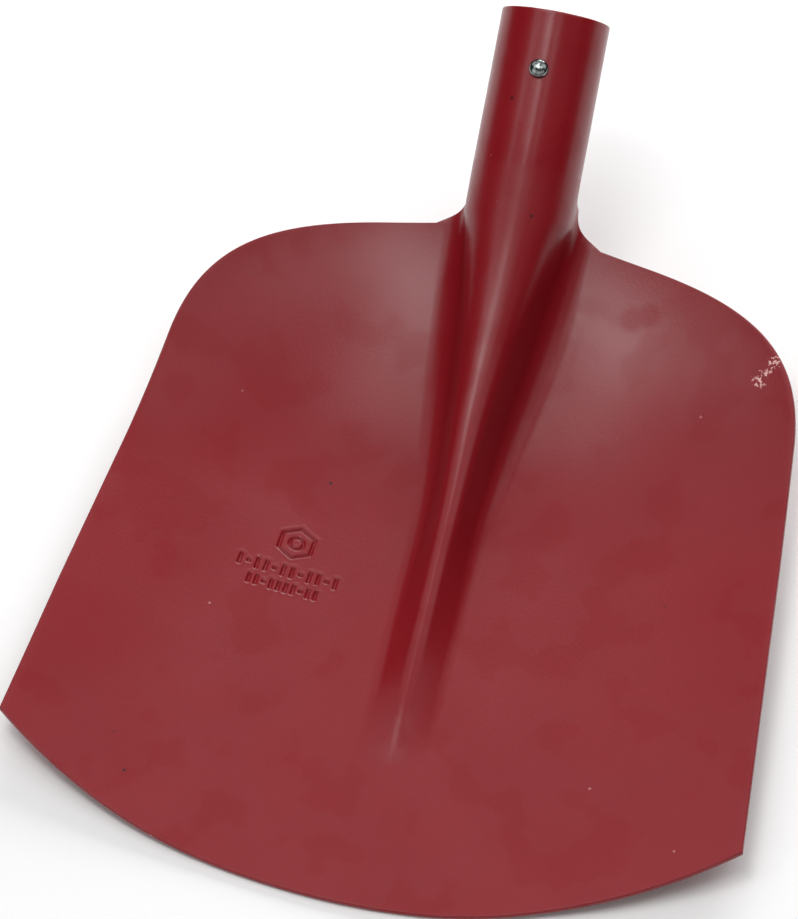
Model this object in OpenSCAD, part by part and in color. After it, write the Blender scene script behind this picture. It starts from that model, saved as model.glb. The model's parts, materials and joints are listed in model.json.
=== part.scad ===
// Head of a wide hand shovel: a dished blade pressed from one sheet, stiffened by a hollow
// ridge that grows into a rolled tube for the handle. The handle itself is not included.
// Z is up, X runs across the blade, and Y runs from the cutting edge towards the socket.
// The blade rests on its flat floor, as when the shovel is pushed along the ground.

/* [Blade outline] */
// Width across the front corners
front_width = 276; // [240:1:310]
// Width where the straight sides run into the round shoulders
shoulder_width = 243; // [215:1:270]
// Length of the straight sides, from the front corners back
side_length = 182; // [165:1:200]
// How far the cutting edge bows out in front of the front corners
edge_bow = 45; // [25:1:60]
// Length that the round shoulders take up
shoulder_length = 66; // [50:1:78]
// Width where the shoulders end and the straight top edges begin
top_width = 104; // [96:1:120]
// How far the top edges climb from the shoulders to the neck
top_edge_rise = 3.5; // [2:0.5:8]

/* [Sheet and dish] */
// Thickness of the steel sheet
sheet_t = 2; // [1.6:0.1:2.5]
// Width of the flat floor on both sides of the middle
floor_width = 64; // [60:1:80]
// Rise of the sides at the front corners
front_side_lift = 10; // [4:0.5:16]
// Rise of the sides level with the neck
back_side_lift = 22; // [14:0.5:30]
// Length of the flat floor behind the front corners
bend_start = 122; // [105:1:135]
// Radius at which the sheet sweeps up into the socket
bend_radius = 218; // [180:1:240]

/* [Ridge] */
// Distance of the ridge's front end behind the front corners
ridge_start = 13; // [5:1:40]
// Width of the ridge at its round front end
ridge_tip_width = 29; // [22:0.5:34]
// Height of the ridge a little behind its front end
ridge_tip_height = 3; // [1.5:0.25:5]
// Radius of the hollow between the ridge and the blade, at the neck
neck_fillet = 8; // [6:0.5:10]

/* [Socket] */
// Angle of the socket above the floor
socket_angle = 35.5; // [30:0.5:40]
// Outer diameter of the rolled socket
socket_d = 42; // [38:0.5:44]
// Length of the straight round part of the socket
socket_length = 60; // [45:1:90]
// Height of the socket's axis above the blade's face at the neck
socket_rise = 10; // [8:0.5:13]
// Least distance between the neck's top edges and the straight socket
throat_length = 25; // [20:1:35]
// Width of the seam at the back of the socket
seam_gap = 2; // [1.5:0.25:4]
// Width of the weld's cap
weld_width = 5; // [4.5:0.25:8]
// Height of the weld above the socket
weld_height = 0.8; // [0.4:0.1:1.5]

/* [Handle rivet] */
// Distance of the rivet from the socket's mouth
rivet_from_mouth = 23; // [12:1:32]
// Diameter of the rivet's domed head
rivet_head_d = 7.5; // [6:0.25:9]
// Height of the rivet's head
rivet_head_h = 2.6; // [2:0.1:3]
// Diameter of the rivet's shank
rivet_shank_d = 4; // [3:0.25:5]
// Clearance around the shank in its hole
rivet_clearance = 0.1; // [0.05:0.05:0.3]

/* [Hidden] */
$fn = 96;

red_paint = [0.45, 0.09, 0.12];
zinc = [0.72, 0.73, 0.74];

socket_r = socket_d / 2;
bore_r = socket_r - sheet_t;

// Stations are measured along the sheet's middle line, from the front corners back.
shoulder_end = side_length + shoulder_length;
neck_start = shoulder_end + top_edge_rise;
bend_end = bend_start + bend_radius * socket_angle * PI / 180;
socket_start = max(neck_start + throat_length, bend_end);
throat_run = socket_start - neck_start;
mouth = socket_start + socket_length;

// The cutting edge is an arc, and the rows behind it straighten out by bow_end.
bow_radius = (pow(front_width / 2, 2) + pow(edge_bow, 2)) / (2 * edge_bow);
bow_end = 60;

// The ridge's shape at the neck: a half round of the socket's radius on upright walls.
neck_half = socket_r + neck_fillet;
neck_height = socket_rise + socket_r;
tip_half = ridge_tip_width / 2;
// Width of flat blade left beside the ridge where the top edges end.
neck_ledge = 3.5;
// The ridge rises from the blade over this length, then climbs to the neck.
tip_run = 30;
ridge_climb = 1.65;
// It widens a little at first, and most of all between these shares of its length.
early_widening = 0.12;
early_power = 0.5;
late_from = 0.4;
late_to = 0.92;
// Its two arcs fill this share of the slope at the front, and the crest takes this part of them.
front_tightness = 0.75;
front_crest_share = 0.38;
crest_power = 5;
arc_limit = 2.2;
least_height = 0.001;
// Over this first share of the ridge the sheet's thickness turns from upright to square.
thickness_turn = 0.15;
least_half = 0.01;

// Grid of the blade: columns on each half, and rows along it.
ridge_columns = 13;
wing_columns = 9;
columns = ridge_columns + wing_columns;
ridge_share_at_neck = 0.96;
ridge_share_at_socket = 0.62;
ridge_margin = 2;
front_strip = 14;
tip_turn = 18;
side_row_count = 16;
shoulder_row_count = 14;
top_row_count = 2;
neck_row_count = 10;
shoulder_handle = 0.45;
// How the sides' rise gathers from the cutting edge to the neck.
side_rise = 1.2;
// How much girth the edge gives up round the fillet at the neck, and over what share of the throat.
throat_nip = 9;
throat_fillet = 0.4;
// Share of the throat at which the edge starts to wrap round to the seam.
wrap_from = 0.45;
// How deep the weld fills the seam, short of the bore.
weld_root = 0.2;

function clamp01(t) = min(1, max(0, t));
function ease(t) = let (u = clamp01(t)) u * u * (3 - 2 * u);
function mix(a, b, t) = a + (b - a) * t;

// The middle line of the sheet, seen from the side: flat, then an arc, then straight.
function lean(s) = min(max((s - bend_start) / bend_radius * 180 / PI, 0), socket_angle);
function past_bend(s) = max(s - bend_end, 0);
function spine(s) = [
    min(s, bend_start) + bend_radius * sin(lean(s)) + past_bend(s) * cos(socket_angle),
    bend_radius * (1 - cos(lean(s))) + past_bend(s) * sin(socket_angle)
];

// The ridge along the blade.
function ridge_t(s) = clamp01((s - ridge_start) / (bend_end - ridge_start));
function tip_t(s) = clamp01((s - ridge_start) / tip_half);
function widening(t) =
    early_widening * pow(t, early_power)
        + (1 - early_widening) * ease((t - late_from) / (late_to - late_from));
function ridge_half(s) =
    max(least_half, tip_half * sqrt(1 - pow(1 - tip_t(s), 2))
        + (neck_half - tip_half) * widening(ridge_t(s)));
function ridge_height(s) =
    max(least_height, ridge_tip_height * ease((s - ridge_start) / tip_run)
        + (neck_height - ridge_tip_height) * pow(sin(90 * ridge_t(s)), ridge_climb));

// The crest and the fillet together: no wall is left between them at the widest.
function widest_arcs(s) =
    (pow(ridge_half(s), 2) + pow(ridge_height(s), 2)) / (2 * ridge_height(s));
function both_arcs(s) =
    let (tight = mix(front_tightness, 1, pow(ridge_t(s), 2)) * widest_arcs(s))
    pow(pow(tight, -4) + pow(arc_limit * ridge_half(s), -4), -0.25);
function crest_r(s) =
    both_arcs(s) * mix(front_crest_share, socket_r / neck_half, pow(ridge_t(s), crest_power));
function fillet_r(s) = both_arcs(s) - crest_r(s);

// The ridge's section: crest arc, straight wall and fillet, as [wall angle, wall length].
function wall(s) =
    let (r = crest_r(s) + fillet_r(s),
         b = ridge_half(s),
         rest = ridge_height(s) - r,
         d = norm([b, rest]))
    [atan2(rest, b) + asin(min(1, r / d)), sqrt(max(0, d * d - r * r))];
function ridge_girth(s) =
    let (w = wall(s))
    (crest_r(s) + fillet_r(s)) * w[0] * PI / 180 + w[1];

// How far the sides rise above the floor at half width x, and how steeply.
side_reach = shoulder_width / 2 - floor_width / 2;
function side_u(x) = max(0, x - floor_width / 2) / side_reach;
function full_lift(s) =
    mix(front_side_lift, back_side_lift,
        pow(clamp01((s + edge_bow) / (neck_start + edge_bow)), side_rise));
function side_lift(s, x) = full_lift(s) * pow(side_u(x), 2);
function side_slope(s, x) = atan(2 * full_lift(s) * side_u(x) / side_reach);

// A point of the open section at girth c: [distance from the middle, drop, slope angle].
function open_section(s, c) =
    let (w = wall(s),
         b = ridge_half(s),
         h = ridge_height(s),
         rc = crest_r(s),
         rf = fillet_r(s),
         c1 = rc * w[0] * PI / 180,
         c2 = c1 + w[1],
         c3 = c2 + rf * w[0] * PI / 180)
    c < c1 ? let (a = c / rc * 180 / PI) [rc * sin(a), rc * (1 - cos(a)), a]
    : c < c2 ? [rc * sin(w[0]) + (c - c1) * cos(w[0]),
                rc * (1 - cos(w[0])) + (c - c1) * sin(w[0]), w[0]]
    : c < c3 ? let (a = w[0] - (c - c2) / rf * 180 / PI)
               [b - rf * sin(a), h - rf * (1 - cos(a)), a]
    : let (x = b + c - c3) [x, h - side_lift(s, x), -side_slope(s, x)];
// The same for the closed round section of the socket.
function round_section(c) =
    let (a = c / socket_r * 180 / PI)
    [socket_r * sin(a), socket_r * (1 - cos(a)), a];
function closing(s) = ease((s - neck_start) / throat_run);
function section(s, c) = mix(open_section(s, c), round_section(c), closing(s));

// Half widths of the outline: straight side, round shoulder and top edge.
function side_x(y) = mix(front_width, shoulder_width, y / side_length) / 2;
function bow(x) = bow_radius - sqrt(bow_radius * bow_radius - x * x);
function bow_share(s) = clamp01((bow_end - s) / (bow_end + edge_bow));
function bowed_side_x(s) = side_x(s + bow_share(s) * bow(side_x(s + bow_share(s) * edge_bow)));
function bezier(p0, p1, p2, p3, t) =
    pow(1 - t, 3) * p0 + 3 * pow(1 - t, 2) * t * p1 + 3 * (1 - t) * t * t * p2 + pow(t, 3) * p3;
shoulder_a = [shoulder_width / 2, side_length];
shoulder_b = [top_width / 2, shoulder_end];
front_corner = [front_width / 2, 0];
neck_corner = [neck_half + neck_ledge, neck_start];
handle_l = norm(shoulder_b - shoulder_a) * shoulder_handle;
side_dir = (shoulder_a - front_corner) / norm(shoulder_a - front_corner);
top_dir = (neck_corner - shoulder_b) / norm(neck_corner - shoulder_b);
function shoulder(t) =
    bezier(shoulder_a, shoulder_a + side_dir * handle_l,
           shoulder_b - top_dir * handle_l, shoulder_b, t);
function wing_girth(s, x) = ridge_girth(s) + x - ridge_half(s);

// Around the throat the sheet's edge curves in, then wraps around to the seam.
neck_girth = wing_girth(neck_start, neck_corner[0]);
throat_girth = neck_girth - throat_nip;
seam_girth = PI * socket_r - seam_gap / 2;
function throat_edge(s) =
    let (q = clamp01((s - neck_start) / throat_run))
    throat_girth + (neck_girth - throat_girth) * (1 - sin(90 * min(1, q / throat_fillet)))
        + (seam_girth - throat_girth) * ease((q - wrap_from) / (1 - wrap_from));

// Rows of the blade, as [station, girth from the crest to the edge].
front_stations = [for (f = [0, 0.07, 0.3, 0.6, 1]) mix(-edge_bow, ridge_start - 2, f)];
tip_stations = [for (a = [0 : tip_turn : 90]) ridge_start + tip_half * (1 - cos(a))];
side_stations = [for (i = [1 : side_row_count])
    mix(ridge_start + tip_half, side_length, i / side_row_count)];
rows = concat(
    [for (s = concat(front_stations, tip_stations, side_stations))
        [s, wing_girth(s, bowed_side_x(s))]],
    [for (i = [1 : shoulder_row_count])
        let (p = shoulder(i / shoulder_row_count)) [p[1], wing_girth(p[1], p[0])]],
    [for (i = [1 : top_row_count])
        let (p = mix(shoulder_b, neck_corner, i / top_row_count)) [p[1], wing_girth(p[1], p[0])]],
    [for (i = [1 : neck_row_count])
        let (s = neck_start + throat_run * i / neck_row_count) [s, throat_edge(s)]]
);

// Girth of column i of a row: the inner columns follow the ridge, the outer ones the wing.
function column_girth(row, i) =
    let (share = mix(ridge_share_at_neck, ridge_share_at_socket, closing(row[0])),
         inner = min(max(ridge_girth(row[0]) + ridge_margin, front_strip), share * row[1]))
    i <= ridge_columns ? inner * i / ridge_columns
    : mix(inner, row[1], (i - ridge_columns) / wing_columns);

// The point of the face or of the back (depth = sheet_t) at column i, negative on the left.
function skin(row, i, depth) =
    let (s = row[0],
         p = section(s, column_girth(row, abs(i))),
         a = p[2] * clamp01(ridge_t(s) / thickness_turn + (p[2] < 0 ? 1 : 0)),
         x = p[0] - depth * sin(a),
         up = ridge_height(s) - p[1] - depth * cos(a),
         along = bow_share(s) * bow(p[0]),
         m = spine(s))
    [sign(i) * x, m[0] + along - up * sin(lean(s)) - middle_y, m[1] + up * cos(lean(s)) + sheet_t];

// The head is centred over its own footprint.
mouth_y = spine(mouth)[0] - socket_rise * sin(socket_angle);
middle_y = (mouth_y + socket_r * sin(socket_angle) - edge_bow) / 2;

module blade() {
    across = 2 * columns + 1;
    count = len(rows) * across;
    face = [for (row = rows, i = [-columns : columns]) skin(row, i, 0)];
    back = [for (row = rows, i = [-columns : columns]) skin(row, i, sheet_t)];
    last = len(rows) - 1;
    // Each half has its squares cut along the diagonal that suits the curve of its edge.
    top_faces = [for (j = [0 : last - 1], i = [0 : across - 2])
        let (a = j * across + i, b = a + 1, c = a + across, d = c + 1)
        each (i < columns ? [[a, c, b], [b, c, d]] : [[a, d, b], [a, c, d]])];
    back_faces = [for (f = top_faces) [f[0] + count, f[2] + count, f[1] + count]];
    edge_loop = concat(
        [for (i = [0 : across - 1]) i],
        [for (j = [1 : last]) j * across + across - 1],
        [for (i = [1 : across - 1]) last * across + across - 1 - i],
        [for (j = [1 : last - 1]) (last - j) * across]);
    n = len(edge_loop);
    edge_faces = [for (k = [0 : n - 1])
        let (a = edge_loop[k], b = edge_loop[(k + 1) % n])
        each [[a, b, b + count], [a, b + count, a + count]]];
    color(red_paint)
    polyhedron(points = concat(face, back), faces = concat(top_faces, back_faces, edge_faces));
}

// Places a child on the socket: Z along its axis from its start, -Y towards the face side.
module on_socket() {
    start = spine(socket_start);
    translate([0, start[0] - socket_rise * sin(socket_angle) - middle_y,
               start[1] + socket_rise * cos(socket_angle) + sheet_t])
    rotate([socket_angle - 90, 0, 0])
    children();
}

// Places a child on the rivet's axis, Z pointing out of the socket's face side.
module on_rivet() {
    on_socket()
    translate([0, 0, socket_length - rivet_from_mouth])
    rotate([90, 0, 0])
    children();
}

module socket() {
    gap_angle = 2 * asin(seam_gap / 2 / socket_r);
    color(red_paint)
    difference() {
        on_socket()
        rotate([0, 0, 90 + gap_angle / 2])
        rotate_extrude(angle = 360 - gap_angle)
        translate([bore_r, 0])
        square([sheet_t, socket_length]);
        on_rivet()
        cylinder(h = socket_d, r = rivet_shank_d / 2 + rivet_clearance);
    }
}

module socket_seam_weld() {
    inner_gap = seam_gap * bore_r / socket_r;
    color(red_paint)
    on_socket()
    linear_extrude(height = socket_length)
    polygon([
        [-inner_gap / 2, bore_r + weld_root], [inner_gap / 2, bore_r + weld_root],
        [seam_gap / 2, socket_r], [weld_width / 2, socket_r],
        [weld_width / 4, socket_r + weld_height], [-weld_width / 4, socket_r + weld_height],
        [-weld_width / 2, socket_r], [-seam_gap / 2, socket_r]
    ]);
}

module handle_rivet() {
    head_r = rivet_head_d / 2;
    dome_r = (head_r * head_r + rivet_head_h * rivet_head_h) / (2 * rivet_head_h);
    color(zinc)
    on_rivet() {
        translate([0, 0, socket_r])
        intersection() {
            translate([0, 0, rivet_head_h - dome_r])
            sphere(r = dome_r);
            cylinder(h = rivet_head_h, r = head_r);
        }
        translate([0, 0, bore_r])
        cylinder(h = sheet_t, r = rivet_shank_d / 2);
    }
}

blade();
socket();
socket_seam_weld();
handle_rivet();
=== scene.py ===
import json
import math

import bpy
import numpy as np
from mathutils import Matrix, Vector


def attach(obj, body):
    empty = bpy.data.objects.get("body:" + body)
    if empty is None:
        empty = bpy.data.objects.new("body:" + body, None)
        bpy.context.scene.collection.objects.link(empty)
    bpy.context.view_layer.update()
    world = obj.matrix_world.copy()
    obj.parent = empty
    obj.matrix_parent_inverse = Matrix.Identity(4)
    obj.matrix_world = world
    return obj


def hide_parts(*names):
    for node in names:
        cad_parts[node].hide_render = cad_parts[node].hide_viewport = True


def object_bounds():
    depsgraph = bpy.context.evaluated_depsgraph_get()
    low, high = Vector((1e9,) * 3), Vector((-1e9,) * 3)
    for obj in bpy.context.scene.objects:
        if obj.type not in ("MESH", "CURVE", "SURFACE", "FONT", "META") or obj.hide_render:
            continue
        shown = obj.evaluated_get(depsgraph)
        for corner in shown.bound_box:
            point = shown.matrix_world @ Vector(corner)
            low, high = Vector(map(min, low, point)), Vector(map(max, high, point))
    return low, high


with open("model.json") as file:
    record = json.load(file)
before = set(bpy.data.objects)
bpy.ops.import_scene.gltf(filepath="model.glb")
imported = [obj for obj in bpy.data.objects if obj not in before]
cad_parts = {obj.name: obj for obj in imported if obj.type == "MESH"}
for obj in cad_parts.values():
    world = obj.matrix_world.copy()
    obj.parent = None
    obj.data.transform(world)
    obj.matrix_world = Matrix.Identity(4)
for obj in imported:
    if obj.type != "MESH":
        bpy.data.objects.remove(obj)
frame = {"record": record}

cad_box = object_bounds()
MM = 0.001

# ---------------------------------------------------------------------------------------------
# Sizes of the sheet, in millimetres. Stations s run along the sheet's middle line from the
# front corners back, and girths c run over the sheet from the crest of the ridge to its edge.
# ---------------------------------------------------------------------------------------------

FRONT_WIDTH, SHOULDER_WIDTH, TOP_WIDTH = 276.0, 243.0, 104.0
SIDE_LENGTH, SHOULDER_LENGTH, TOP_EDGE_RISE = 182.0, 66.0, 3.5
EDGE_BOW, BOW_END = 45.0, 60.0
SHEET_T, EDGE_ROUND = 2.0, 0.5
FLOOR_WIDTH, FRONT_LIFT, BACK_LIFT = 64.0, 10.0, 22.0
BEND_START, BEND_RADIUS = 122.0, 218.0
RIDGE_START, TIP_HALF, TIP_HEIGHT, NECK_FILLET, NECK_LEDGE = 13.0, 14.5, 3.0, 8.0, 3.5
TIP_RUN, SIDE_RISE = 30.0, 1.2
SOCKET_RISE, SOCKET_LENGTH, THROAT_LENGTH, SEAM_GAP = 10.0, 60.0, 25.0, 2.0
SHOULDER_HANDLE = 0.45
RIVET_FROM_MOUTH = 23.0

# Laws of the ridge: how early and how late it widens, how it climbs and how round its crest is.
EARLY_WIDENING, EARLY_POWER = 0.12, 0.5
LATE_FROM, LATE_SPAN = 0.40, 0.52
RIDGE_CLIMB = 1.65
FRONT_TIGHTNESS, ARC_LIMIT, ARC_POWER = 0.75, 2.2, 4
FRONT_CREST_SHARE, CREST_POWER = 0.38, 5
LEAST_HALF, LEAST_HEIGHT = 0.01, 0.001

# Laws of the throat: how far its edge nips in, and where it starts to wrap round the tube.
THROAT_NIP, NIP_END, WRAP_FROM = 9.0, 0.4, 0.45

# The ridge's front end lies this far right of the middle, and the shift fades out backwards
# and sideways.
RIDGE_DRIFT, DRIFT_END = 4.3, 165.0
DRIFT_HALF, DRIFT_FADE = 20.0, 60.0

socket_mount = next(m for m in frame["record"]["mounts"] if m["name"] == "handle_socket")
BORE_R = socket_mount["dims"]["r_mm"]
SOCKET_R = BORE_R + SHEET_T
SOCKET_LEAN = math.atan2(socket_mount["axis"][2], socket_mount["axis"][1])
MOUTH_CENTRE = Vector(socket_mount["pos_m"])

SHOULDER_END = SIDE_LENGTH + SHOULDER_LENGTH
NECK_START = SHOULDER_END + TOP_EDGE_RISE
BEND_END = BEND_START + BEND_RADIUS * SOCKET_LEAN
SOCKET_START = max(NECK_START + THROAT_LENGTH, BEND_END)
MOUTH = SOCKET_START + SOCKET_LENGTH
NECK_HALF = SOCKET_R + NECK_FILLET
NECK_HEIGHT = SOCKET_RISE + SOCKET_R
BOW_RADIUS = ((FRONT_WIDTH / 2) ** 2 + EDGE_BOW ** 2) / (2 * EDGE_BOW)


def mix(a, b, t):
    return a + (b - a) * t


def ease(t):
    t = np.clip(t, 0, 1)
    return t * t * (3 - 2 * t)


def lean(s):
    return np.clip((s - BEND_START) / BEND_RADIUS, 0, SOCKET_LEAN)


def spine(s):
    past = np.maximum(s - BEND_END, 0)
    y = np.minimum(s, BEND_START) + BEND_RADIUS * np.sin(lean(s)) + past * math.cos(SOCKET_LEAN)
    z = BEND_RADIUS * (1 - np.cos(lean(s))) + past * math.sin(SOCKET_LEAN)
    return y, z


# The head's place in the frame comes from the socket's mouth.
MIDDLE_Y = float(spine(MOUTH)[0]) - SOCKET_RISE * math.sin(SOCKET_LEAN) - MOUTH_CENTRE.y / MM


def ridge_t(s):
    return np.clip((s - RIDGE_START) / (BEND_END - RIDGE_START), 0, 1)


def tip_t(s):
    return np.clip((s - RIDGE_START) / TIP_HALF, 0, 1)


def ridge_half(s):
    """Half the ridge's width: nearly even at first, then widening into the neck."""
    t = ridge_t(s)
    late = ease((t - LATE_FROM) / LATE_SPAN)
    widening = EARLY_WIDENING * t ** EARLY_POWER + (1 - EARLY_WIDENING) * late
    tip = TIP_HALF * np.sqrt(1 - (1 - tip_t(s)) ** 2)
    return np.maximum(LEAST_HALF, tip + (NECK_HALF - TIP_HALF) * widening)


def ridge_height(s):
    climb = np.sin(np.pi / 2 * ridge_t(s)) ** RIDGE_CLIMB
    tip = TIP_HEIGHT * ease((s - RIDGE_START) / TIP_RUN)
    return np.maximum(LEAST_HEIGHT, tip + (NECK_HEIGHT - TIP_HEIGHT) * climb)


def ridge_arcs(s):
    """Radii of the crest and of the hollow beside it, the wall's angle and its length."""
    half, high, t = ridge_half(s), ridge_height(s), ridge_t(s)
    # No wall is left between the two arcs when their radii add up to this.
    widest = (half ** 2 + high ** 2) / (2 * high)
    tight = mix(FRONT_TIGHTNESS, 1.0, t ** 2) * widest
    both = (tight ** -ARC_POWER + (ARC_LIMIT * half) ** -ARC_POWER) ** (-1 / ARC_POWER)
    crest = both * mix(FRONT_CREST_SHARE, SOCKET_R / NECK_HALF, t ** CREST_POWER)
    hollow = both - crest
    reach = np.hypot(half, high - both)
    angle = np.arctan2(high - both, half) + np.arcsin(np.minimum(1, both / reach))
    length = np.sqrt(np.maximum(0, reach ** 2 - both ** 2))
    return crest, hollow, angle, length


def ridge_girth(s):
    crest, hollow, angle, length = ridge_arcs(s)
    return (crest + hollow) * angle + length


def side_lift(s, x):
    """Rise of the sides above the floor, and its slope."""
    reach = (SHOULDER_WIDTH - FLOOR_WIDTH) / 2
    u = np.maximum(0, x - FLOOR_WIDTH / 2) / reach
    share = np.clip((s + EDGE_BOW) / (NECK_START + EDGE_BOW), 0, 1)
    lift = mix(FRONT_LIFT, BACK_LIFT, share ** SIDE_RISE)
    return lift * u * u, 2 * lift * u / reach


def closing(s):
    return ease((s - NECK_START) / (SOCKET_START - NECK_START))


def section(s, c):
    """Distance from the middle, drop below the crest and slope angle at station s, girth c."""
    s = np.broadcast_to(s, c.shape)
    crest, hollow, angle, length = ridge_arcs(s)
    half, high = ridge_half(s), ridge_height(s)
    c1 = crest * angle
    c2 = c1 + length
    c3 = c2 + hollow * angle
    on_crest, on_wall, on_hollow = c < c1, c < c2, c < c3
    a_crest = c / crest
    a_hollow = angle - (c - c2) / hollow
    x_wing = half + c - c3
    lift, slope = side_lift(s, x_wing)
    x = np.select([on_crest, on_wall, on_hollow],
                  [crest * np.sin(a_crest),
                   crest * np.sin(angle) + (c - c1) * np.cos(angle),
                   half - hollow * np.sin(a_hollow)], x_wing)
    drop = np.select([on_crest, on_wall, on_hollow],
                     [crest * (1 - np.cos(a_crest)),
                      crest * (1 - np.cos(angle)) + (c - c1) * np.sin(angle),
                      high - hollow * (1 - np.cos(a_hollow))], high - lift)
    a = np.select([on_crest, on_wall, on_hollow], [a_crest, angle, a_hollow], -np.arctan(slope))
    turn = c / SOCKET_R
    m = closing(s)
    return (mix(x, SOCKET_R * np.sin(turn), m),
            mix(drop, SOCKET_R * (1 - np.cos(turn)), m),
            mix(a, turn, m))


# Outline of the blade.

def side_x(y):
    return mix(FRONT_WIDTH, SHOULDER_WIDTH, y / SIDE_LENGTH) / 2


def bow(x):
    return BOW_RADIUS - np.sqrt(BOW_RADIUS ** 2 - x ** 2)


def bow_share(s):
    return np.clip((BOW_END - s) / (BOW_END + EDGE_BOW), 0, 1)


def bowed_side_x(s):
    first = side_x(s + bow_share(s) * EDGE_BOW)
    return side_x(s + bow_share(s) * bow(first))


def wing_girth(s, x):
    return ridge_girth(s) + x - ridge_half(s)


def shoulder_curve(t):
    """Points (x, s) of the round shoulder, for an array t from 0 to 1."""
    start = np.array([SHOULDER_WIDTH / 2, SIDE_LENGTH])
    end = np.array([TOP_WIDTH / 2, SHOULDER_END])
    neck = np.array([NECK_HALF + NECK_LEDGE, NECK_START])
    reach = np.linalg.norm(end - start) * SHOULDER_HANDLE
    side = start - np.array([FRONT_WIDTH / 2, 0])
    top = neck - end
    a = start + side / np.linalg.norm(side) * reach
    b = end - top / np.linalg.norm(top) * reach
    t = t[:, None]
    return (1 - t) ** 3 * start + 3 * (1 - t) ** 2 * t * a + 3 * (1 - t) * t * t * b + t ** 3 * end


def throat_edge(s):
    """Girth of the sheet's edge where it wraps round from the blade to the seam."""
    neck = wing_girth(np.array(NECK_START), NECK_HALF + NECK_LEDGE)
    throat = neck - THROAT_NIP
    seam = math.pi * SOCKET_R - SEAM_GAP / 2
    q = np.clip((s - NECK_START) / (SOCKET_START - NECK_START), 0, 1)
    falling = (neck - throat) * (1 - np.sin(np.pi / 2 * np.minimum(1, q / NIP_END)))
    return throat + falling + (seam - throat) * ease((q - WRAP_FROM) / (1 - WRAP_FROM))


# ---------------------------------------------------------------------------------------------
# The stamped mark: a plain hexagon round a ring, over two rows of bars and dots.
# ---------------------------------------------------------------------------------------------

MARK_CENTRE = (-54.5, 97.0)
MARK_TURN = math.radians(-3.0)
MARK_DEPTH = 0.8
MARK_LINE = 0.5
MARK_SOFT = 0.24
MARK_DOT = 0.75
MARK_BAR = 1.1
SIGN_CENTRE = (-0.5, 10.0)
SIGN_HEXAGON, SIGN_RING = 6.0, 2.6
LIP_SHARE, LIP_PLACE, LIP_WIDTH = 0.1, 0.9, 0.5

# Where the mesh is fine enough for the mark: stations, shares of the wing and the mesh's pitch.
MARK_STATIONS = (74.0, 119.0)
MARK_SHARES = (0.10, 0.60)
MARK_PITCH = 0.32

# Each row of the mark: its middle, its height, the pitch along it and its strokes.
MARK_ROWS = (
    (-3.6, 5.2, 3.25, ("bar", "dot", "bar") * 4),
    (-11.0, 4.6, 2.75, ("bar", "bar", "dot", "bar", "bar") * 2),
)


def bar(u, v, cu, cv, w, h):
    """Signed distance from an upright bar with round ends."""
    du = np.abs(u - cu) - (w / 2 - MARK_LINE / 2)
    dv = np.abs(v - cv) - (h / 2 - MARK_LINE / 2)
    outside = np.hypot(np.maximum(du, 0), np.maximum(dv, 0))
    return outside + np.minimum(np.maximum(du, dv), 0) - MARK_LINE / 2


def hexagon(u, v, r):
    across = np.maximum(np.abs(u), np.abs(u) / 2 + np.abs(v) * math.sqrt(3) / 2)
    return across - r


def ring(u, v, r):
    return np.abs(np.hypot(u, v) - r) - MARK_LINE


def mark_distance(x, y):
    """Signed distance from the mark's strokes on the blade, in millimetres."""
    du, dv = x - MARK_CENTRE[0], y - MARK_CENTRE[1]
    u = du * math.cos(MARK_TURN) + dv * math.sin(MARK_TURN)
    v = -du * math.sin(MARK_TURN) + dv * math.cos(MARK_TURN)
    hu, hv = u - SIGN_CENTRE[0], v - SIGN_CENTRE[1]
    outline = np.abs(hexagon(hu, hv, SIGN_HEXAGON)) - MARK_LINE
    d = np.minimum(outline, ring(hu, hv, SIGN_RING))
    for middle, high, pitch, kinds in MARK_ROWS:
        for k, kind in enumerate(kinds):
            along = u - (k - (len(kinds) - 1) / 2) * pitch
            if kind == "bar":
                shape = bar(along, v, 0, middle, MARK_BAR, high)
            else:
                shape = np.hypot(along, v - middle) - MARK_DOT
            d = np.minimum(d, shape)
    return d


def mark_depth(x, y):
    """How deep the mark is pressed in, with a faint lip round the strokes."""
    d = mark_distance(x, y)
    pressed = MARK_DEPTH * ease(0.5 - d / (2 * MARK_SOFT))
    lip = LIP_SHARE * MARK_DEPTH * np.exp(-((d - LIP_PLACE) / LIP_WIDTH) ** 2)
    return pressed - lip


# ---------------------------------------------------------------------------------------------
# Meshes.
# ---------------------------------------------------------------------------------------------

EDGE_STEPS = np.array([1.0, 0.55, 0.2, 0.0]) * EDGE_ROUND

# The columns over the ridge end at this share of the way to the sheet's edge at the latest,
# on the blade and on the tube, and this many millimetres from the crest at the earliest.
WING_START, TUBE_START, LEAST_INNER = 0.96, 0.62, 14
RIDGE_COLUMNS, WING_COLUMNS, TUBE_COLUMNS = 40, 55, 40


def edge_sink(distance):
    """Depth of the rounded edge at a distance from it."""
    near = np.clip(EDGE_ROUND - distance, 0, EDGE_ROUND)
    return EDGE_ROUND - np.sqrt(EDGE_ROUND ** 2 - near ** 2)


def half_girths(s, edge, shares):
    """Girths of one half's columns, from the crest to the edge."""
    share = mix(WING_START, TUBE_START, closing(s))
    inner = np.minimum(np.maximum(ridge_girth(s) + 2, LEAST_INNER), share * edge)[:, None]
    last = edge[:, None] - EDGE_ROUND
    ridge = inner * np.linspace(0, 1, RIDGE_COLUMNS + 1)[None, 1:]
    wing = inner + (last - inner) * shares[None, :]
    rim = edge[:, None] - EDGE_STEPS[None, 1:]
    return np.hstack([ridge, wing, rim])


def ridge_drift(s, x):
    """Shift of the sheet to the right near the ridge."""
    near = 1 - ease((np.abs(x) - DRIFT_HALF) / DRIFT_FADE)
    return RIDGE_DRIFT * np.clip(1 - s / DRIFT_END, 0, 1)[:, None] * near


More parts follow.
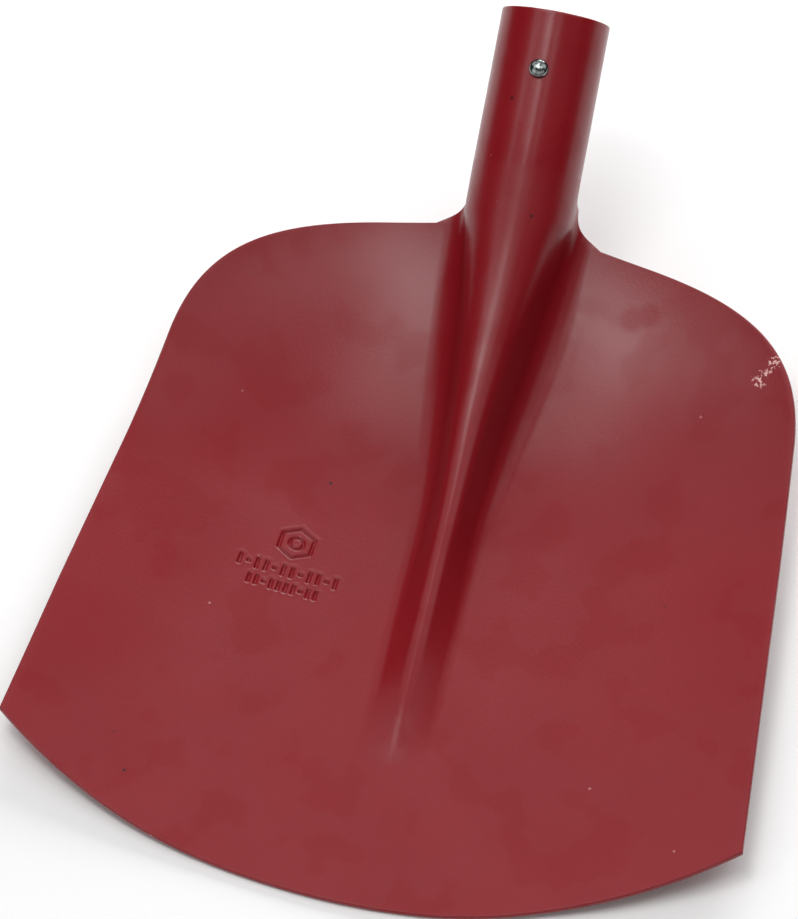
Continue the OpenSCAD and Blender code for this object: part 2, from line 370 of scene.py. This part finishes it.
def sheet_points(s, girth, sink, mark):
    """Points of the sheet's two faces, as arrays of rows by columns by 3, in metres.

    Positive girths lie on the right half. The mark is pressed into the face if mark is true.
    """
    c = np.abs(girth)
    side = np.sign(girth)
    x, drop, a = section(s[:, None], c)
    y0, z0 = spine(s)
    tilt = lean(s)[:, None]
    along = bow_share(s)[:, None] * bow(np.minimum(x, FRONT_WIDTH / 2))
    square = np.clip(ridge_t(s)[:, None] / 0.15 + (a < 0), 0, 1)
    pressed = mark_depth(side * x, y0[:, None] + along) if mark else 0
    faces = []
    for depth in (sink + pressed, SHEET_T - sink):
        up = ridge_height(s)[:, None] - drop - depth * np.cos(a * square)
        px = side * (x - depth * np.sin(a * square)) + ridge_drift(s, x)
        py = y0[:, None] + along - up * np.sin(tilt) - MIDDLE_Y
        pz = z0[:, None] + up * np.cos(tilt) + SHEET_T
        faces.append(np.stack([px, py, pz], -1) * MM)
    return faces


def make_object(name, verts, faces, sharp=math.radians(50)):
    mesh = bpy.data.meshes.new(name)
    mesh.from_pydata(verts.tolist(), [], faces)
    mesh.validate()
    mesh.polygons.foreach_set("use_smooth", [True] * len(mesh.polygons))
    mesh.set_sharp_from_angle(angle=sharp)
    mesh.update()
    obj = bpy.data.objects.new(name, mesh)
    bpy.context.scene.collection.objects.link(obj)
    return obj


def shell(name, face, back):
    """A closed sheet from its two grids of points."""
    rows, cols = face.shape[:2]
    count = rows * cols
    grid = np.arange(count).reshape(rows, cols)
    a, b, c, d = grid[:-1, :-1], grid[:-1, 1:], grid[1:, 1:], grid[1:, :-1]
    top = np.stack([a, b, c, d], -1).reshape(-1, 4)
    under = np.stack([a, d, c, b], -1).reshape(-1, 4) + count
    loop = np.concatenate([grid[0, :], grid[1:, -1], grid[-1, -2::-1], grid[-2:0:-1, 0]])
    following = np.roll(loop, -1)
    rim = np.stack([loop, loop + count, following + count, following], -1)
    verts = np.concatenate([face.reshape(-1, 3), back.reshape(-1, 3)])
    return make_object(name, verts, np.concatenate([top, under, rim]).tolist())


def graded_stops(first, last, fine_from, fine_to, fine, coarse):
    """Stops that lie close together in one stretch and spread out gently beyond it."""
    def outwards(start, end):
        stops, step = [], fine
        while abs(end - start) > 1.5 * step:
            start += math.copysign(step, end - start)
            stops.append(start)
            step = min(coarse, step * 1.2)
        return stops + [end]
    middle = np.arange(fine_from, fine_to, fine)
    before, after = outwards(middle[0], first), outwards(middle[-1], last)
    return np.unique(np.concatenate([before, middle, after]))


def make_blade():
    front = np.concatenate([-EDGE_BOW + EDGE_ROUND - EDGE_STEPS,
                            np.linspace(-EDGE_BOW + 2, RIDGE_START - 2, 26)])
    tip = np.arange(RIDGE_START - 1.2, RIDGE_START + 1.6 * TIP_HALF, 0.8)
    rest = graded_stops(tip[-1] + 1, SIDE_LENGTH, *MARK_STATIONS, MARK_PITCH, 2.0)
    sides = np.concatenate([front, tip, rest])
    curve = shoulder_curve(np.linspace(0, 1, 61)[1:])
    top = np.linspace([TOP_WIDTH / 2, SHOULDER_END], [NECK_HALF + NECK_LEDGE, NECK_START], 9)[1:]
    throat = np.linspace(NECK_START, SOCKET_START, 41)[1:]
    s = np.concatenate([sides, curve[:, 1], top[:, 1], throat])
    edge = np.concatenate([wing_girth(sides, bowed_side_x(sides)),
                           wing_girth(curve[:, 1], curve[:, 0]),
                           wing_girth(top[:, 1], top[:, 0]), throat_edge(throat)])
    fine = MARK_PITCH / (SHOULDER_WIDTH / 2 * 0.85)
    left = half_girths(s, edge, graded_stops(0, 1, *MARK_SHARES, fine, 0.02)[1:])
    right = half_girths(s, edge, np.linspace(0, 1, WING_COLUMNS + 1)[1:])
    girth = np.hstack([-left[:, ::-1], np.zeros((len(s), 1)), right])
    sink = np.maximum(edge_sink(edge[:, None] - np.abs(girth)),
                      edge_sink(s + EDGE_BOW)[:, None])
    face, back = sheet_points(s, girth, sink, True)
    return shell("blade_sheet", face, back)


def make_socket():
    body = np.linspace(SOCKET_START, MOUTH - 1, 24)
    s = np.concatenate([body, MOUTH - EDGE_STEPS])
    edge = np.full(len(s), math.pi * SOCKET_R - SEAM_GAP / 2)
    half = half_girths(s, edge, np.linspace(0, 1, TUBE_COLUMNS + 1)[1:])
    girth = np.hstack([-half[:, ::-1], np.zeros((len(s), 1)), half])
    sink = edge_sink(MOUTH - s)[:, None] * np.ones_like(girth)
    face, back = sheet_points(s, girth, sink, False)
    return shell("socket_tube", face, back)


# Axes of the socket: along it, out of its face side and across.
ALONG = Vector((0, math.cos(SOCKET_LEAN), math.sin(SOCKET_LEAN)))
OUT = Vector((0, -math.sin(SOCKET_LEAN), math.cos(SOCKET_LEAN)))
ACROSS = Vector((1, 0, 0))


def socket_point(across, out, from_mouth):
    """A point of the frame from millimetres across, out of the face side and from the mouth."""
    return MOUTH_CENTRE + (ACROSS * across + OUT * out - ALONG * from_mouth) * MM


def make_weld():
    """The bead along the seam, with the ripples that a torch leaves."""
    width, height, pitch = 4.6, 0.75, 2.1
    first, last = 0.6, SOCKET_LENGTH - 0.4
    along = np.linspace(first, last, 281)
    u = np.linspace(-1, 1, 15)
    rng = np.random.default_rng(7)
    wander = np.cumsum(rng.normal(0, 0.02, len(along)))
    wander -= np.linspace(wander[0], wander[-1], len(along))
    verts, faces = [], []
    for k, z in enumerate(along):
        ends = math.sqrt(min(1, (min(z - first, last - z) + 0.3) / 2.5))
        for v in u:
            ripple = 0.82 + 0.18 * math.cos(2 * math.pi * (z / pitch + 0.35 * v * v))
            x = width / 2 * v * (0.93 + 0.07 * ripple) + wander[k]
            skin = math.sqrt(SOCKET_R ** 2 - x ** 2)
            rise = height * ripple * ends * math.sqrt(max(0, 1 - v * v)) - 0.12
            verts.append(socket_point(x, -(skin + rise), z))
        for v in u[::-1]:
            verts.append(socket_point(SEAM_GAP * 0.48 * v, -(BORE_R + 0.25), z))
    around = 2 * len(u)
    for k in range(len(along) - 1):
        for j in range(around):
            a, b = k * around + j, k * around + (j + 1) % around
            faces.append((a, b, b + around, a + around))
    end = (len(along) - 1) * around
    faces.append(tuple(range(around))[::-1])
    faces.append(tuple(range(end, end + around)))
    return make_object("seam_weld_bead", np.array(verts), faces)


def make_rivet():
    """A domed head with a rolled rim, on a shank that ends level with the bore."""
    head_r, head_h, shank_r, rim_h, steps = 3.75, 2.5, 2.0, 0.3, 64
    profile = [(0.0, -SHEET_T), (shank_r - 0.3, -SHEET_T), (shank_r, -SHEET_T + 0.3),
               (shank_r, -0.15), (head_r - 0.35, -0.2), (head_r - 0.08, -0.08), (head_r, 0.12),
               (head_r - 0.04, rim_h)]
    for k in range(1, 13):
        turn = math.pi / 2 * k / 12
        height = rim_h + (head_h - rim_h) * math.sin(turn)
        profile.append(((head_r - 0.04) * math.cos(turn), height))
    verts, faces = [], []
    for r, h in profile[1:-1]:
        for k in range(steps):
            turn = 2 * math.pi * k / steps
            along = RIVET_FROM_MOUTH + r * math.sin(turn)
            verts.append(socket_point(r * math.cos(turn), SOCKET_R + h, along))
    rings = len(profile) - 2
    for j in range(rings - 1):
        for k in range(steps):
            a, b = j * steps + k, j * steps + (k + 1) % steps
            faces.append((a, a + steps, b + steps, b))
    verts.append(socket_point(0, SOCKET_R + profile[0][1], RIVET_FROM_MOUTH))
    verts.append(socket_point(0, SOCKET_R + profile[-1][1], RIVET_FROM_MOUTH))
    foot, crown = rings * steps, rings * steps + 1
    for k in range(steps):
        faces.append((foot, k, (k + 1) % steps))
        a = (rings - 1) * steps
        faces.append((crown, a + (k + 1) % steps, a + k))
    return make_object("domed_rivet", np.array(verts), faces)


# ---------------------------------------------------------------------------------------------
# Materials.
# ---------------------------------------------------------------------------------------------

class Nodes:
    """Short ways to add and link the nodes of one material."""

    def __init__(self, name):
        self.material = bpy.data.materials.new(name)
        self.material.use_nodes = True
        self.tree = self.material.node_tree
        self.tree.nodes.clear()
        self.shader = self.add("ShaderNodeBsdfPrincipled")
        output = self.add("ShaderNodeOutputMaterial")
        self.link(self.shader.outputs["BSDF"], output.inputs["Surface"])
        self.place = self.add("ShaderNodeTexCoord").outputs["Object"]

    def add(self, kind, **values):
        node = self.tree.nodes.new(kind)
        for key, value in values.items():
            setattr(node, key, value)
        return node

    def link(self, source, target):
        self.tree.links.new(source, target)

    def noise(self, size, detail=2.0, rough=0.5):
        """Noise whose features are about size metres across."""
        node = self.add("ShaderNodeTexNoise")
        node.inputs["Scale"].default_value = 1 / size
        node.inputs["Detail"].default_value = detail
        node.inputs["Roughness"].default_value = rough
        self.link(self.place, node.inputs["Vector"])
        return node.outputs["Fac"]

    def span(self, source, low, high, to_low, to_high):
        """The source's stretch from low to high, spread from to_low to to_high and clamped."""
        node = self.add("ShaderNodeMapRange")
        limits = {"From Min": low, "From Max": high, "To Min": to_low, "To Max": to_high}
        for key, value in limits.items():
            node.inputs[key].default_value = value
        self.link(source, node.inputs["Value"])
        return node.outputs["Result"]

    def blend(self, factor, first, second):
        """Mix of two colours, each a colour or an output."""
        node = self.add("ShaderNodeMix", data_type="RGBA")
        self.link(factor, node.inputs["Factor"])
        for value, socket in ((first, node.inputs["A"]), (second, node.inputs["B"])):
            for candidate in [s for s in node.inputs if s.name == socket.name and s.type == "RGBA"]:
                if isinstance(value, tuple):
                    candidate.default_value = (*value, 1)
                else:
                    self.link(value, candidate)
        return next(o for o in node.outputs if o.type == "RGBA")

    def bump(self, height, strength, distance, normal=None):
        node = self.add("ShaderNodeBump")
        node.inputs["Strength"].default_value = strength
        node.inputs["Distance"].default_value = distance
        self.link(height, node.inputs["Height"])
        if normal is not None:
            self.link(normal, node.inputs["Normal"])
        return node.outputs["Normal"]

    def join(self, operation, first, second):
        """Two outputs joined by one step of arithmetic."""
        node = self.add("ShaderNodeMath", operation=operation)
        self.link(first, node.inputs[0])
        self.link(second, node.inputs[1])
        return node.outputs["Value"]

    def spot(self, centre, inner, outer):
        """1 near one place, falling to 0 between the two radii."""
        far = self.add("ShaderNodeVectorMath", operation="DISTANCE")
        self.link(self.place, far.inputs[0])
        far.inputs[1].default_value = centre
        return self.span(far.outputs["Value"], inner, outer, 1, 0)

    def spots(self, centres, inner, outer):
        """1 near any of several places."""
        masks = [self.spot(centre, inner, outer) for centre in centres]
        while len(masks) > 1:
            masks.append(self.join("MAXIMUM", masks.pop(), masks.pop()))
        return masks[0]

    def painted_glints(self, centres, reach, grain):
        """1 in small marks of painted highlight, glints, that gather round a few places."""
        near = self.spots(centres, 0.3 * reach, reach)
        marks = self.join("ADD", self.noise(grain, 3, 0.6), self.span(near, 0, 1, -0.12, 0.09))
        return self.join("MULTIPLY", self.span(marks, 0.58, 0.62, 0, 1), near)

    def specks(self, size, share):
        """1 in small spots, on about that share of cells of that size."""
        cells = self.add("ShaderNodeTexVoronoi")
        cells.inputs["Scale"].default_value = 1 / size
        self.link(self.place, cells.inputs["Vector"])
        split = self.add("ShaderNodeSeparateColor")
        self.link(cells.outputs["Color"], split.inputs["Color"])
        chosen = self.span(split.outputs["Red"], 1 - share, 1 - share + 0.001, 0, 1)
        near = self.span(cells.outputs["Distance"], 0.05, 0.11, 1, 0)
        return self.join("MULTIPLY", chosen, near)


def paint(name, colour, darker, roughness, coat_roughness, painted_glint_places=(), smudged=()):
    """Sprayed enamel: orange peel, slow changes of shade, dull stains, specks of dust and, where
    places are given, glints of painted highlight.
    """
    n = Nodes(name)
    shade = n.span(n.noise(0.045, 3), 0.35, 0.65, 0, 1)
    base = n.blend(shade, colour, darker)
    grain = n.span(n.noise(0.0007, 2), 0.3, 0.7, 0, 1)
    base = n.blend(n.span(grain, 0, 1, 0, 0.32), base, tuple(v * 0.6 for v in colour))
    dull = n.span(n.noise(0.024, 2), 0.55, 0.59, 0, 0.27)
    if smudged:
        smudge = n.span(n.spots(smudged, 0.0034, 0.0062), 0, 1, 0, 0.6)
        dull = n.join("MAXIMUM", dull, smudge)
    base = n.blend(n.span(dull, 0, 1, 0, 0.8), base, tuple(v * 0.88 for v in colour))
    if painted_glint_places:
        # Painted highlight: pale pink glints mixed into the base colour near the given places.
        base = n.blend(n.painted_glints(painted_glint_places, 0.0048, 0.0013), base, (0.80, 0.46, 0.44))
    base = n.blend(n.specks(0.008, 0.06), base, (0.03, 0.004, 0.006))
    base = n.blend(n.specks(0.006, 0.03), base, (0.45, 0.16, 0.16))
    n.link(base, n.shader.inputs["Base Color"])
    rough = n.span(n.noise(0.03, 3), 0.3, 0.7, roughness - 0.03, roughness + 0.04)
    n.link(rough, n.shader.inputs["Roughness"])
    n.link(n.span(dull, 0, 1, 0.30, 0.16), n.shader.inputs["Specular IOR Level"])
    n.link(n.span(dull, 0, 1, 0.26, 0.08), n.shader.inputs["Coat Weight"])
    n.shader.inputs["Coat Roughness"].default_value = coat_roughness
    peel = n.bump(n.noise(0.0012, 1.5), 0.26, 0.0002)
    waves = n.bump(n.noise(0.009, 1), 0.08, 0.0004, peel)
    n.link(waves, n.shader.inputs["Normal"])
    return n.material


def zinc(name):
    """Bright zinc plating with a slight cloud and fine scratches."""
    n = Nodes(name)
    n.shader.inputs["Metallic"].default_value = 1.0
    cloud = n.span(n.noise(0.0015, 3), 0.3, 0.7, 0, 1)
    n.link(n.blend(cloud, (0.30, 0.33, 0.32), (0.18, 0.20, 0.20)), n.shader.inputs["Base Color"])
    n.link(n.span(cloud, 0, 1, 0.14, 0.26), n.shader.inputs["Roughness"])
    n.link(n.bump(n.noise(0.0006, 2), 0.2, 0.0001), n.shader.inputs["Normal"])
    return n.material


def floor_material(name):
    n = Nodes(name)
    cloud = n.span(n.noise(0.5, 2), 0.3, 0.7, 0, 1)
    n.link(n.blend(cloud, (0.93, 0.93, 0.93), (0.91, 0.91, 0.91)), n.shader.inputs["Base Color"])
    n.shader.inputs["Roughness"].default_value = 0.9
    n.shader.inputs["Specular IOR Level"].default_value = 0.1
    return n.material


def finish_piece(obj, material, node):
    obj.data.materials.append(material)
    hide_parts(node)
    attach(obj, "root")


# ---------------------------------------------------------------------------------------------
# The pieces.
# ---------------------------------------------------------------------------------------------

# Base colours of the enamel and, where its shade changes slowly, of its darker parts.
ENAMEL = (0.250, 0.0052, 0.0110)
BLADE_DARKER, SOCKET_DARKER = (0.236, 0.0048, 0.0102), (0.232, 0.0047, 0.0100)

# Places on the blade's face, in metres, where glints of painted highlight are put into the colour
# and where the paint is smudged.
PAINTED_GLINTS_AT = ((0.1030, 0.0645, 0.0310), (0.1050, 0.0676, 0.0331), (0.1075, 0.0710, 0.0357))
SMUDGED_AT = ((0.0495, 0.0858, 0.0275), (0.0562, 0.0878, 0.0290))

blade_paint = paint("burgundy_enamel_blade", ENAMEL, BLADE_DARKER, 0.36, 0.23,
                    painted_glint_places=PAINTED_GLINTS_AT, smudged=SMUDGED_AT)
socket_paint = paint("burgundy_enamel_socket", ENAMEL, SOCKET_DARKER, 0.30, 0.15)
finish_piece(make_blade(), blade_paint, "blade")
finish_piece(make_socket(), socket_paint, "socket")
finish_piece(make_weld(), socket_paint, "socket_seam_weld")
finish_piece(make_rivet(), zinc("bright_zinc"), "handle_rivet")

# ---------------------------------------------------------------------------------------------
# Floor, light and camera.
# ---------------------------------------------------------------------------------------------


def make_floor():
    """A wide pale floor, a hair below the head so that the two do not fight."""
    half = 4.0
    verts = np.array([(-half, -half, 0), (half, -half, 0), (half, half, 0), (-half, half, 0)])
    floor = make_object("floor", verts - np.array([0, 0, 0.0005]), [(0, 1, 2, 3)])
    floor.data.materials.append(floor_material("pale_floor"))


# Soft lights on a dome over the head: where each one hangs, its sides in metres and its watts.
DOME = 1.6
SOFTBOXES = {
    "overhead": ((-0.15, -0.24, 0.96), (0.80, 0.36), 5.9),
    "overhead_back": ((-0.15, 0.02, 0.99), (0.80, 0.44), 3.0),
    "overhead_left": ((-0.52, -0.16, 0.84), (0.62, 0.50), 2.0),
    "overhead_right": ((0.26, -0.22, 0.94), (0.52, 0.50), 1.7),
    "ceiling": ((-0.05, 0.25, 0.97), (1.60, 0.96), 1.5),
    "right": ((0.60, 0.17, 0.78), (0.96, 1.10), 3.5),
    "left": ((-0.65, 0.35, 0.67), (0.96, 0.96), 2.2),
    "back_high": ((-0.15, 0.55, 0.82), (0.80, 0.80), 1.0),
    "back_window": ((0.05, 0.93, 0.37), (1.10, 0.96), 26.4),
    "front_left": ((-0.60, -0.65, 0.47), (0.96, 0.96), 3.6),
    "front_right": ((0.60, -0.65, 0.47), (0.96, 0.96), 1.8),
    "front": ((0.00, -0.90, 0.44), (0.96, 0.96), 2.3),
}


def softbox(name, direction, size, power):
    """A rectangular light that shines at the head from that direction."""
    data = bpy.data.lights.new(name, "AREA")
    data.shape = "RECTANGLE"
    data.size, data.size_y = size
    data.energy = power
    lamp = bpy.data.objects.new(name, data)
    way = Vector(direction).normalized()
    across = Vector((0, 0, 1)).cross(way).normalized()
    place = Matrix((across, way.cross(across), way)).transposed().to_4x4()
    place.translation = HEAD_CENTRE + way * DOME
    lamp.matrix_world = place
    bpy.context.scene.collection.objects.link(lamp)


def make_world(strength):
    world = bpy.data.worlds.new("studio")
    world.use_nodes = True
    back = world.node_tree.nodes["Background"]
    back.inputs["Color"].default_value = (1, 1, 1, 1)
    back.inputs["Strength"].default_value = strength
    bpy.context.scene.world = world


LIGHT_HEIGHT = 0.02
HEAD_CENTRE = Vector(((cad_box[0][0] + cad_box[1][0]) / 2,
                      (cad_box[0][1] + cad_box[1][1]) / 2, LIGHT_HEIGHT))
make_floor()
make_world(0.02)
for box_name, (box_way, box_size, box_power) in SOFTBOXES.items():
    softbox(box_name, box_way, box_size, box_power)

# The camera looks down from the cutting edge's side: its turn about the head is a tilt, a
# swing to the right and a roll, and it aims at a point on the blade's face.
CAMERA_TILT, CAMERA_SWING, CAMERA_ROLL = map(math.radians, (-36.945, -11.116, -17.256))
CAMERA_DISTANCE = 1.976
CAMERA_AIM = Vector((-26.149 * MM, (155.866 - MIDDLE_Y) * MM, SHEET_T * MM))
CAMERA_LENS = 202.75


def make_camera():
    turn = (Matrix.Rotation(CAMERA_ROLL, 3, "Z") @ Matrix.Rotation(CAMERA_TILT, 3, "X")
            @ Matrix.Rotation(CAMERA_SWING, 3, "Y"))
    data = bpy.data.cameras.new("camera")
    data.lens = CAMERA_LENS
    data.clip_start, data.clip_end = 0.05, 50
    camera = bpy.data.objects.new("camera", data)
    place = turn.transposed().to_4x4()
    place.translation = CAMERA_AIM + turn.row[2] * CAMERA_DISTANCE
    camera.matrix_world = place
    bpy.context.scene.collection.objects.link(camera)
    bpy.context.scene.camera = camera


make_camera()
bpy.context.scene.view_settings.view_transform = "Standard"
